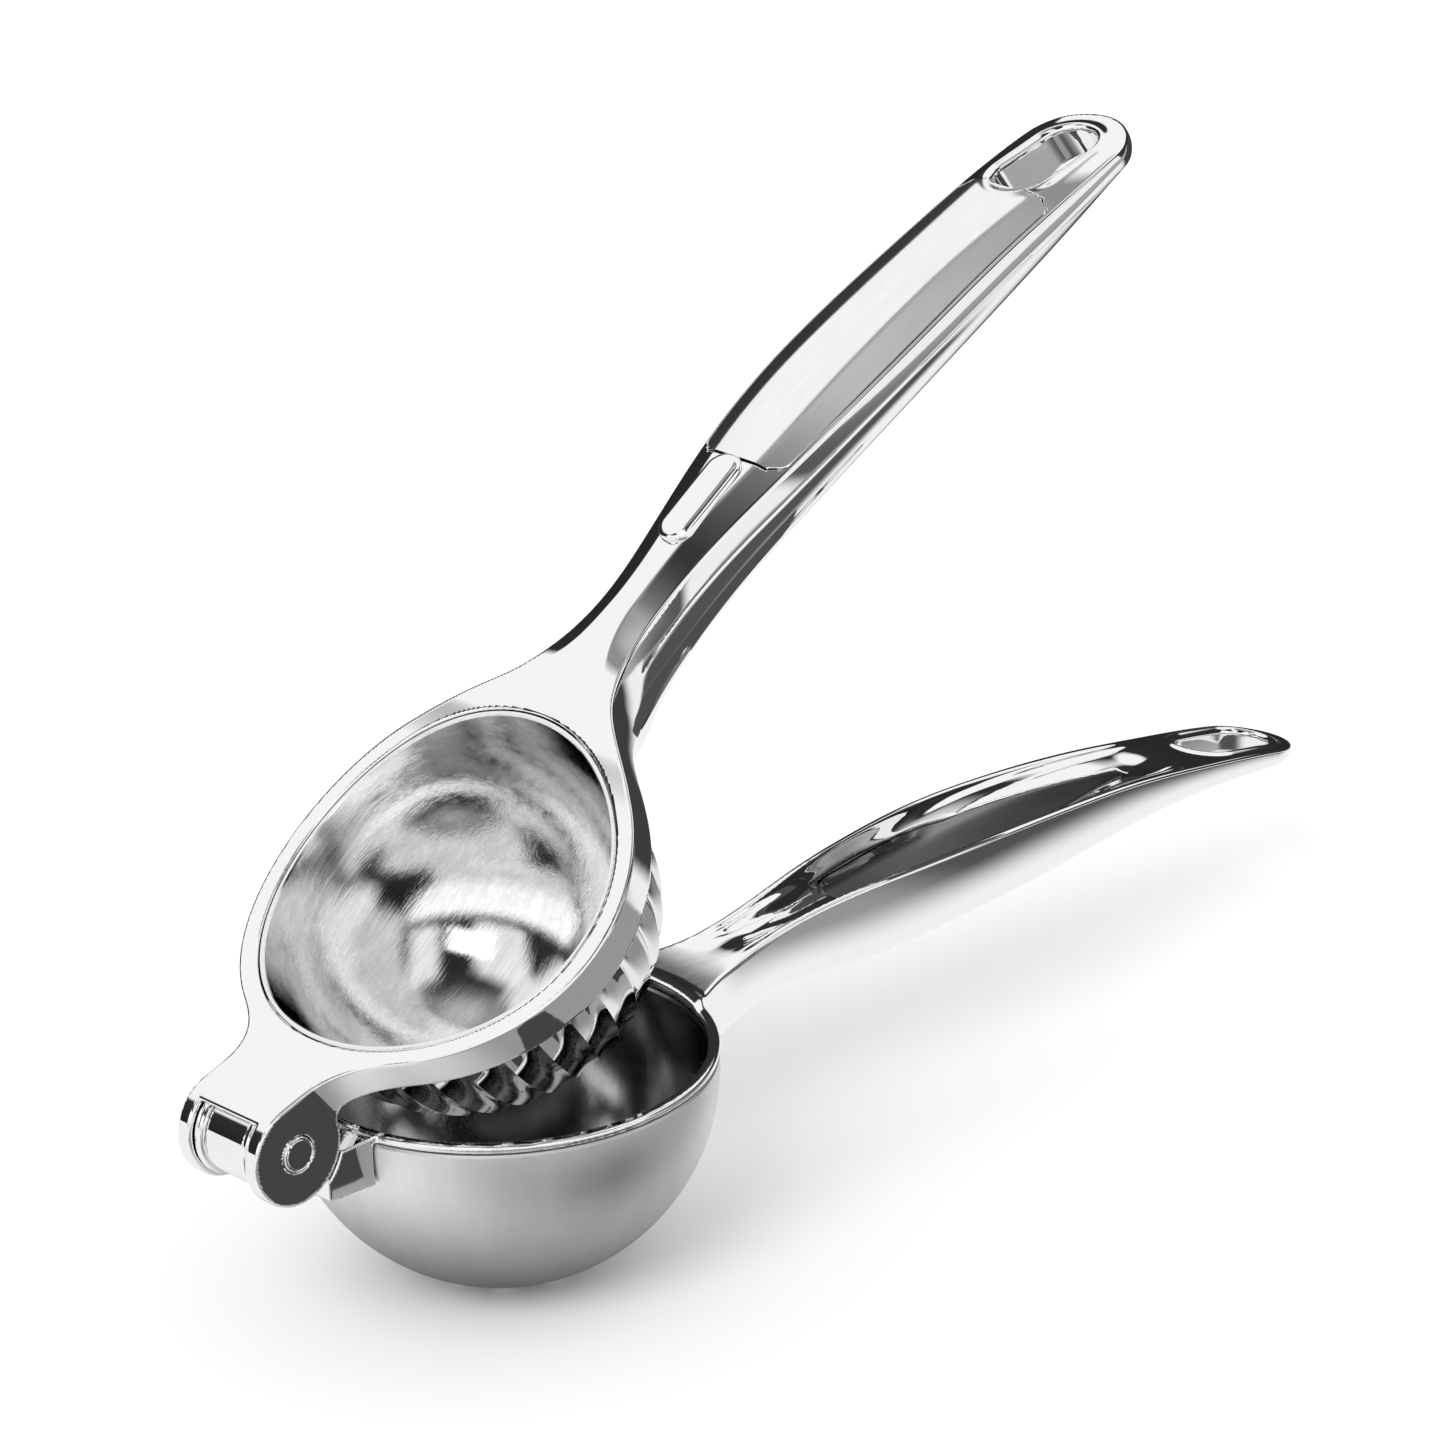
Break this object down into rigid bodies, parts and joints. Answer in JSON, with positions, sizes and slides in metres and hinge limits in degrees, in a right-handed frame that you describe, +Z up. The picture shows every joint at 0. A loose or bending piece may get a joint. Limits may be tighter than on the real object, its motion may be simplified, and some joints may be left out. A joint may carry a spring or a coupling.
{
  "type": "citrus press juicer",
  "caption": "Hand-held citrus press: a fluted cup in the hinged upper arm squeezes fruit into a round drained bowl in the lower arm, with long curved handles.",
  "frame": {"origin": "centre of the small flat under the bowl, at rest with the bowl's rim level and the arms open as for loading fruit", "axes": "+X from the bowl along the lower handle, +Y along the hinge pin, +Z up out of the bowl"},
  "size_m": [0.2518, 0.072, 0.16],
  "materials": {
    "polished_casting": "mirror polished",
    "brushed_cup": "brushed inside, polished flutes outside",
    "satin_bowl": "fine satin outside, turned and brushed inside",
    "grip_panel": "silver-grey satin",
    "hinge_steel": "ground"
  },
  "bodies": {
    "lower": {"lower_arm": "polished_casting", "juice_bowl": "satin_bowl", "lower_grip_panel": "grip_panel"},
    "upper": {"upper_arm": "polished_casting", "press_cup": "brushed_cup", "upper_grip_panel": "grip_panel", "oval_plate": "polished_casting", "hinge_pin": "hinge_steel", "near_washer": "hinge_steel", "far_washer": "hinge_steel"}
  },
  "joints": [
    {"name": "arm_hinge", "type": "hinge", "parent": "lower", "child": "upper", "pos_m": [-0.0508, 0, 0.04146], "axis": [0, 1, 0], "range_deg": [-85, 28]}
  ]
}
